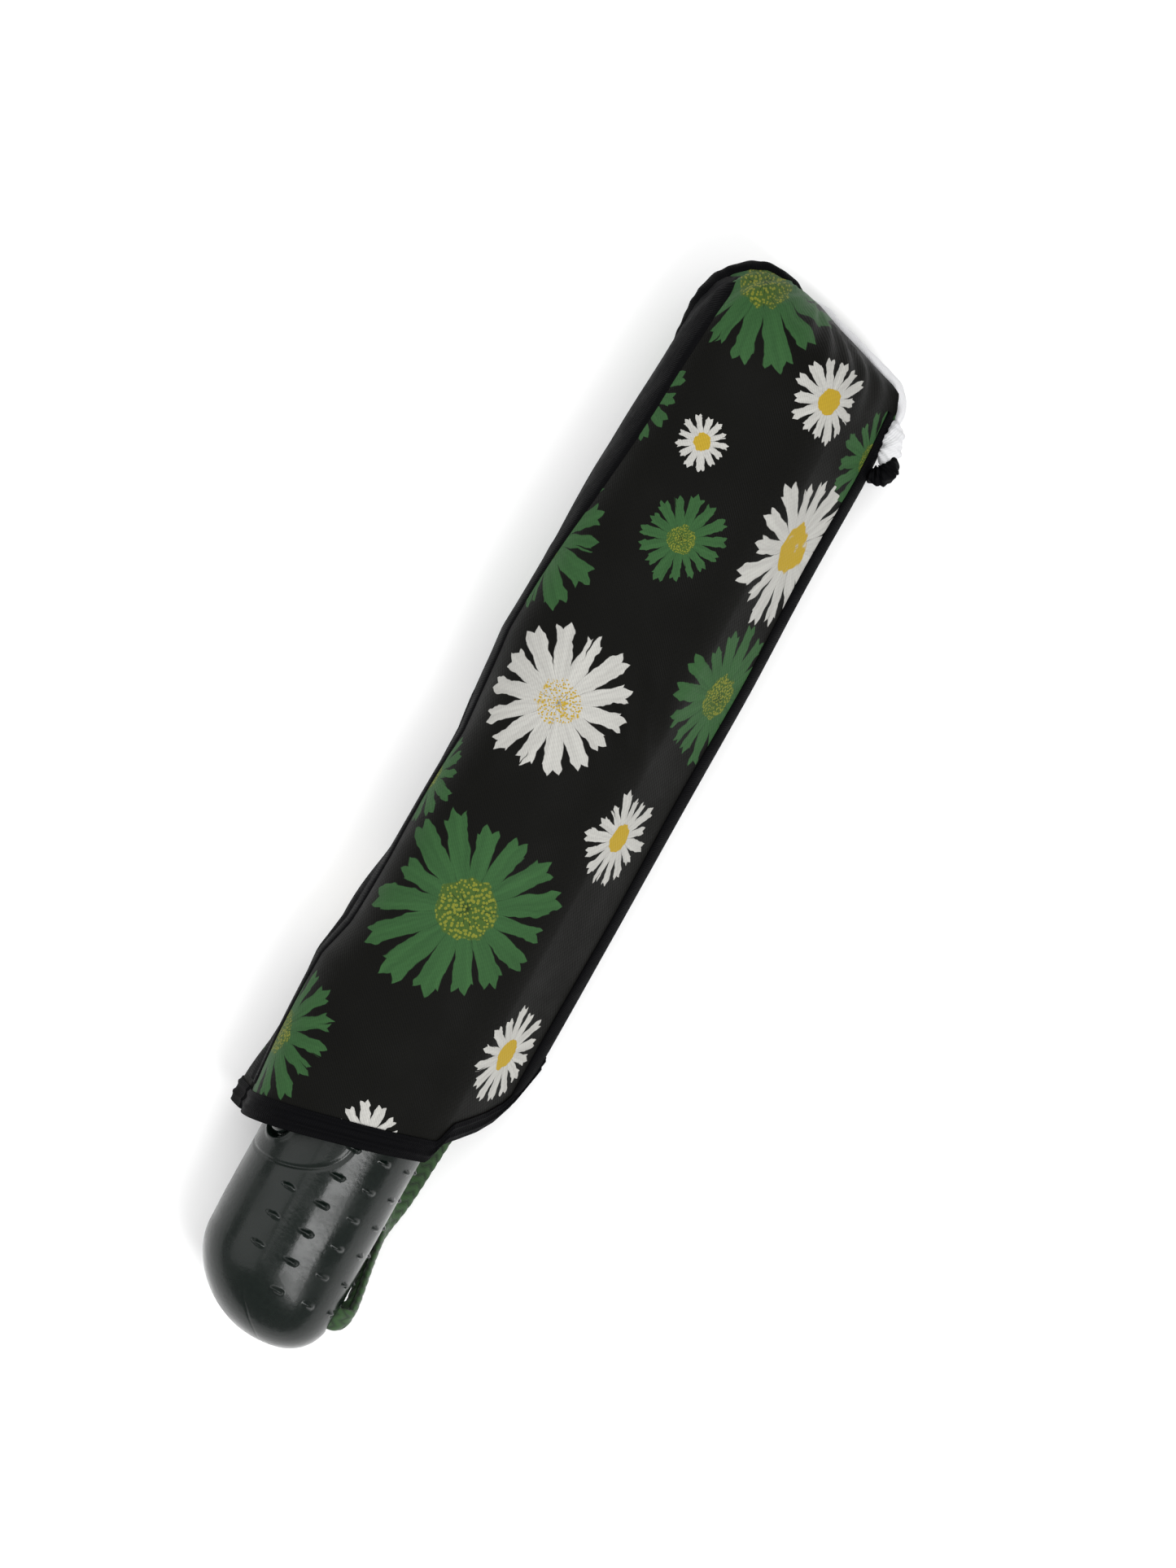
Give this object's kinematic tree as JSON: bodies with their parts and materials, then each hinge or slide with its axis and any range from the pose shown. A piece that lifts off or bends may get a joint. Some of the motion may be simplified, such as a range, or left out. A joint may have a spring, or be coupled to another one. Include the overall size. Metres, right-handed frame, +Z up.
{
  "type": "folding umbrella",
  "caption": "Three-fold push-button umbrella, closed in its slip-on printed fabric sleeve, with a bumped plastic handle and a knitted wrist strap.",
  "frame": {"origin": "on the surface the sleeve's flat underside rests on, below the shaft axis and half way along the object", "axes": "+Y along the shaft from handle to crown, +X towards the sleeve's side seam, +Z up"},
  "size_m": [0.0582, 0.291, 0.0504],
  "materials": {
    "handle_plastic": "glossy dark green-black moulded plastic",
    "core_plastic": "plain moulded plastic, inside",
    "button_plastic": "glossy moulded plastic",
    "bright_steel": "drawn wire",
    "strap_braid": "flat knitted green braid",
    "tube_steel": "drawn tube",
    "spring_steel": "spring wire",
    "hub_plastic": "moulded nylon",
    "cap_plastic": "moulded plastic",
    "sleeve_cloth": "near-black twill printed with white and green daisies",
    "canopy_cloth": "near-black twill printed with white and green daisies",
    "rib_steel": "black lacquered channel",
    "rib_rod": "black lacquered rod with a moulded tip"
  },
  "bodies": {
    "handle": {"handle_shell_front": "handle_plastic", "handle_shell_back": "handle_plastic", "handle_core": "core_plastic", "tip_cup": "handle_plastic", "latch_pin": "bright_steel", "strap_anchor": "bright_steel", "wrist_strap": "strap_braid", "lower_tube": "tube_steel", "opening_spring": "spring_steel", "button_spring": "spring_steel"},
    "mid_tube": {"mid_tube": "tube_steel"},
    "top_tube": {"top_tube": "tube_steel", "crown": "hub_plastic", "crown_wire": "bright_steel", "ferrule_cap": "cap_plastic", "runner_spring": "spring_steel"},
    "runner": {"runner": "hub_plastic"},
    "button": {"button": "button_plastic"},
    "latch_lever": {"latch_lever": "core_plastic"},
    "sleeve": {"sleeve": "sleeve_cloth"},
    "top_rib_1": {"top_rib_1": "rib_steel"},
    "top_rib_2": {"top_rib_2": "rib_steel"},
    "top_rib_3": {"top_rib_3": "rib_steel"},
    "top_rib_4": {"top_rib_4": "rib_steel"},
    "top_rib_5": {"top_rib_5": "rib_steel"},
    "top_rib_6": {"top_rib_6": "rib_steel"},
    "top_rib_7": {"top_rib_7": "rib_steel"},
    "top_rib_8": {"top_rib_8": "rib_steel"},
    "stretcher_1": {"stretcher_1": "rib_steel"},
    "stretcher_2": {"stretcher_2": "rib_steel"},
    "stretcher_3": {"stretcher_3": "rib_steel"},
    "stretcher_4": {"stretcher_4": "rib_steel"},
    "stretcher_5": {"stretcher_5": "rib_steel"},
    "stretcher_6": {"stretcher_6": "rib_steel"},
    "stretcher_7": {"stretcher_7": "rib_steel"},
    "stretcher_8": {"stretcher_8": "rib_steel"},
    "mid_rib_1": {"mid_rib_1": "rib_steel"},
    "mid_rib_2": {"mid_rib_2": "rib_steel"},
    "mid_rib_3": {"mid_rib_3": "rib_steel"},
    "mid_rib_4": {"mid_rib_4": "rib_steel"},
    "mid_rib_5": {"mid_rib_5": "rib_steel"},
    "mid_rib_6": {"mid_rib_6": "rib_steel"},
    "mid_rib_7": {"mid_rib_7": "rib_steel"},
    "mid_rib_8": {"mid_rib_8": "rib_steel"},
    "tail_rib_1": {"tail_rib_1": "rib_rod", "canopy_gore_1": "canopy_cloth"},
    "tail_rib_2": {"tail_rib_2": "rib_rod", "canopy_gore_2": "canopy_cloth"},
    "tail_rib_3": {"tail_rib_3": "rib_rod", "canopy_gore_3": "canopy_cloth"},
    "tail_rib_4": {"tail_rib_4": "rib_rod", "canopy_gore_4": "canopy_cloth"},
    "tail_rib_5": {"tail_rib_5": "rib_rod", "canopy_gore_5": "canopy_cloth"},
    "tail_rib_6": {"tail_rib_6": "rib_rod", "canopy_gore_6": "canopy_cloth"},
    "tail_rib_7": {"tail_rib_7": "rib_rod", "canopy_gore_7": "canopy_cloth"},
    "tail_rib_8": {"tail_rib_8": "rib_rod", "canopy_gore_8": "canopy_cloth"}
  },
  "joints": [
    {"name": "shaft_extend", "type": "slide", "parent": "handle", "child": "mid_tube", "axis": [0, 1, 0], "range_m": [0, 0.142], "deforming": ["opening_spring"]},
    {"name": "top_tube_slide", "type": "slide", "parent": "mid_tube", "child": "top_tube", "axis": [0, 1, 0], "range_m": [-0.001, 0.143]},
    {"name": "frame_open", "type": "hinge", "parent": "top_tube", "child": "top_rib_1", "pos_m": [0.00364, 0.126, 0.03398], "axis": [-0.9239, 0, 0.3827], "range_deg": [0, 80], "deforming": ["sleeve", "wrist_strap", "runner_spring"]},
    {"name": "top_rib_turn_2", "type": "hinge", "parent": "top_tube", "child": "top_rib_2", "pos_m": [0.00878, 0.126, 0.02883], "axis": [-0.3827, 0, 0.9239], "range_deg": [-1, 81]},
    {"name": "top_rib_turn_3", "type": "hinge", "parent": "top_tube", "child": "top_rib_3", "pos_m": [0.00878, 0.126, 0.02157], "axis": [0.3827, 0, 0.9239], "range_deg": [-1, 81]},
    {"name": "top_rib_turn_4", "type": "hinge", "parent": "top_tube", "child": "top_rib_4", "pos_m": [0.00364, 0.126, 0.01642], "axis": [0.9239, 0, 0.3827], "range_deg": [-1, 81]},
    {"name": "top_rib_turn_5", "type": "hinge", "parent": "top_tube", "child": "top_rib_5", "pos_m": [-0.00364, 0.126, 0.01642], "axis": [0.9239, 0, -0.3827], "range_deg": [-1, 81]},
    {"name": "top_rib_turn_6", "type": "hinge", "parent": "top_tube", "child": "top_rib_6", "pos_m": [-0.00878, 0.126, 0.02157], "axis": [0.3827, 0, -0.9239], "range_deg": [-1, 81]},
    {"name": "top_rib_turn_7", "type": "hinge", "parent": "top_tube", "child": "top_rib_7", "pos_m": [-0.00878, 0.126, 0.02883], "axis": [-0.3827, 0, -0.9239], "range_deg": [-1, 81]},
    {"name": "top_rib_turn_8", "type": "hinge", "parent": "top_tube", "child": "top_rib_8", "pos_m": [-0.00364, 0.126, 0.03398], "axis": [-0.9239, 0, -0.3827], "range_deg": [-1, 81]},
    {"name": "stretcher_turn_1", "type": "hinge", "parent": "top_rib_1", "child": "stretcher_1", "pos_m": [0.00364, 0.037, 0.03398], "axis": [-0.9239, 0, 0.3827], "range_deg": [-161, 1]},
    {"name": "stretcher_turn_2", "type": "hinge", "parent": "top_rib_2", "child": "stretcher_2", "pos_m": [0.00878, 0.037, 0.02883], "axis": [-0.3827, 0, 0.9239], "range_deg": [-161, 1]},
    {"name": "stretcher_turn_3", "type": "hinge", "parent": "top_rib_3", "child": "stretcher_3", "pos_m": [0.00878, 0.037, 0.02157], "axis": [0.3827, 0, 0.9239], "range_deg": [-161, 1]},
    {"name": "stretcher_turn_4", "type": "hinge", "parent": "top_rib_4", "child": "stretcher_4", "pos_m": [0.00364, 0.037, 0.01642], "axis": [0.9239, 0, 0.3827], "range_deg": [-161, 1]},
    {"name": "stretcher_turn_5", "type": "hinge", "parent": "top_rib_5", "child": "stretcher_5", "pos_m": [-0.00364, 0.037, 0.01642], "axis": [0.9239, 0, -0.3827], "range_deg": [-161, 1]},
    {"name": "stretcher_turn_6", "type": "hinge", "parent": "top_rib_6", "child": "stretcher_6", "pos_m": [-0.00878, 0.037, 0.02157], "axis": [0.3827, 0, -0.9239], "range_deg": [-161, 1]},
    {"name": "stretcher_turn_7", "type": "hinge", "parent": "top_rib_7", "child": "stretcher_7", "pos_m": [-0.00878, 0.037, 0.02883], "axis": [-0.3827, 0, -0.9239], "range_deg": [-161, 1]},
    {"name": "stretcher_turn_8", "type": "hinge", "parent": "top_rib_8", "child": "stretcher_8", "pos_m": [-0.00364, 0.037, 0.03398], "axis": [-0.9239, 0, -0.3827], "range_deg": [-161, 1]},
    {"name": "mid_rib_turn_1", "type": "hinge", "parent": "top_rib_1", "child": "mid_rib_1", "pos_m": [0.00486, -0.04, 0.03693], "axis": [-0.9239, 0, 0.3827], "range_deg": [-193, 1]},
    {"name": "mid_rib_turn_2", "type": "hinge", "parent": "top_rib_2", "child": "mid_rib_2", "pos_m": [0.01173, -0.04, 0.03006], "axis": [-0.3827, 0, 0.9239], "range_deg": [-193, 1]},
    {"name": "mid_rib_turn_3", "type": "hinge", "parent": "top_rib_3", "child": "mid_rib_3", "pos_m": [0.01173, -0.04, 0.02034], "axis": [0.3827, 0, 0.9239], "range_deg": [-193, 1]},
    {"name": "mid_rib_turn_4", "type": "hinge", "parent": "top_rib_4", "child": "mid_rib_4", "pos_m": [0.00486, -0.04, 0.01347], "axis": [0.9239, 0, 0.3827], "range_deg": [-193, 1]},
    {"name": "mid_rib_turn_5", "type": "hinge", "parent": "top_rib_5", "child": "mid_rib_5", "pos_m": [-0.00486, -0.04, 0.01347], "axis": [0.9239, 0, -0.3827], "range_deg": [-193, 1]},
    {"name": "mid_rib_turn_6", "type": "hinge", "parent": "top_rib_6", "child": "mid_rib_6", "pos_m": [-0.01173, -0.04, 0.02034], "axis": [0.3827, 0, -0.9239], "range_deg": [-193, 1]},
    {"name": "mid_rib_turn_7", "type": "hinge", "parent": "top_rib_7", "child": "mid_rib_7", "pos_m": [-0.01173, -0.04, 0.03006], "axis": [-0.3827, 0, -0.9239], "range_deg": [-193, 1]},
    {"name": "mid_rib_turn_8", "type": "hinge", "parent": "top_rib_8", "child": "mid_rib_8", "pos_m": [-0.00486, -0.04, 0.03693], "axis": [-0.9239, 0, -0.3827], "range_deg": [-193, 1]},
    {"name": "tail_rib_turn_1", "type": "hinge", "parent": "mid_rib_1", "child": "tail_rib_1", "pos_m": [0.00589, 0.116, 0.03943], "axis": [-0.9239, 0, 0.3827], "range_deg": [-1, 165]},
    {"name": "tail_rib_turn_2", "type": "hinge", "parent": "mid_rib_2", "child": "tail_rib_2", "pos_m": [0.01423, 0.116, 0.03109], "axis": [-0.3827, 0, 0.9239], "range_deg": [-1, 165]},
    {"name": "tail_rib_turn_3", "type": "hinge", "parent": "mid_rib_3", "child": "tail_rib_3", "pos_m": [0.01423, 0.116, 0.01931], "axis": [0.3827, 0, 0.9239], "range_deg": [-1, 165]},
    {"name": "tail_rib_turn_4", "type": "hinge", "parent": "mid_rib_4", "child": "tail_rib_4", "pos_m": [0.00589, 0.116, 0.01097], "axis": [0.9239, 0, 0.3827], "range_deg": [-1, 165]},
    {"name": "tail_rib_turn_5", "type": "hinge", "parent": "mid_rib_5", "child": "tail_rib_5", "pos_m": [-0.00589, 0.116, 0.01097], "axis": [0.9239, 0, -0.3827], "range_deg": [-1, 165]},
    {"name": "tail_rib_turn_6", "type": "hinge", "parent": "mid_rib_6", "child": "tail_rib_6", "pos_m": [-0.01423, 0.116, 0.01931], "axis": [0.3827, 0, -0.9239], "range_deg": [-1, 165]},
    {"name": "tail_rib_turn_7", "type": "hinge", "parent": "mid_rib_7", "child": "tail_rib_7", "pos_m": [-0.01423, 0.116, 0.03109], "axis": [-0.3827, 0, -0.9239], "range_deg": [-1, 165]},
    {"name": "tail_rib_turn_8", "type": "hinge", "parent": "mid_rib_8", "child": "tail_rib_8", "pos_m": [-0.00589, 0.116, 0.03943], "axis": [-0.9239, 0, -0.3827], "range_deg": [-1, 165]},
    {"name": "runner_slide", "type": "slide", "parent": "top_tube", "child": "runner", "axis": [0, 1, 0], "range_m": [-0.001, 0.14809]},
    {"name": "sleeve_slide", "type": "slide", "parent": "top_tube", "child": "sleeve", "axis": [0, 1, 0], "range_m": [0, 0.25]},
    {"name": "button_press", "type": "slide", "parent": "handle", "child": "button", "axis": [0.7986, 0, -0.6018], "range_m": [0, 0.0025], "stiffness_N_per_m": 600, "springref_m": -0.002, "deforming": ["button_spring"]},
    {"name": "latch_turn", "type": "hinge", "parent": "handle", "child": "latch_lever", "pos_m": [-0.00982, -0.1015, 0.0326], "axis": [-0.6018, 0, -0.7986], "range_deg": [-1, 18.5]}
  ],
  "couplings": [
    {"joint": "top_tube_slide", "follows": "shaft_extend", "ratio": 1},
    {"joint": "top_rib_turn_2", "follows": "frame_open", "ratio": 1},
    {"joint": "top_rib_turn_3", "follows": "frame_open", "ratio": 1},
    {"joint": "top_rib_turn_4", "follows": "frame_open", "ratio": 1},
    {"joint": "top_rib_turn_5", "follows": "frame_open", "ratio": 1},
    {"joint": "top_rib_turn_6", "follows": "frame_open", "ratio": 1},
    {"joint": "top_rib_turn_7", "follows": "frame_open", "ratio": 1},
    {"joint": "top_rib_turn_8", "follows": "frame_open", "ratio": 1},
    {"joint": "stretcher_turn_1", "follows": "frame_open", "ratio": -2},
    {"joint": "stretcher_turn_2", "follows": "frame_open", "ratio": -2},
    {"joint": "stretcher_turn_3", "follows": "frame_open", "ratio": -2},
    {"joint": "stretcher_turn_4", "follows": "frame_open", "ratio": -2},
    {"joint": "stretcher_turn_5", "follows": "frame_open", "ratio": -2},
    {"joint": "stretcher_turn_6", "follows": "frame_open", "ratio": -2},
    {"joint": "stretcher_turn_7", "follows": "frame_open", "ratio": -2},
    {"joint": "stretcher_turn_8", "follows": "frame_open", "ratio": -2},
    {"joint": "mid_rib_turn_1", "follows": "frame_open", "ratio": -2.4},
    {"joint": "mid_rib_turn_2", "follows": "frame_open", "ratio": -2.4},
    {"joint": "mid_rib_turn_3", "follows": "frame_open", "ratio": -2.4},
    {"joint": "mid_rib_turn_4", "follows": "frame_open", "ratio": -2.4},
    {"joint": "mid_rib_turn_5", "follows": "frame_open", "ratio": -2.4},
    {"joint": "mid_rib_turn_6", "follows": "frame_open", "ratio": -2.4},
    {"joint": "mid_rib_turn_7", "follows": "frame_open", "ratio": -2.4},
    {"joint": "mid_rib_turn_8", "follows": "frame_open", "ratio": -2.4},
    {"joint": "tail_rib_turn_1", "follows": "frame_open", "ratio": 2.05},
    {"joint": "tail_rib_turn_2", "follows": "frame_open", "ratio": 2.05},
    {"joint": "tail_rib_turn_3", "follows": "frame_open", "ratio": 2.05},
    {"joint": "tail_rib_turn_4", "follows": "frame_open", "ratio": 2.05},
    {"joint": "tail_rib_turn_5", "follows": "frame_open", "ratio": 2.05},
    {"joint": "tail_rib_turn_6", "follows": "frame_open", "ratio": 2.05},
    {"joint": "tail_rib_turn_7", "follows": "frame_open", "ratio": 2.05},
    {"joint": "tail_rib_turn_8", "follows": "frame_open", "ratio": 2.05},
    {"joint": "runner_slide", "follows": "frame_open", "m_per_rad": 0.10535},
    {"joint": "latch_turn", "follows": "button_press", "rad_per_m": 111.7}
  ]
}
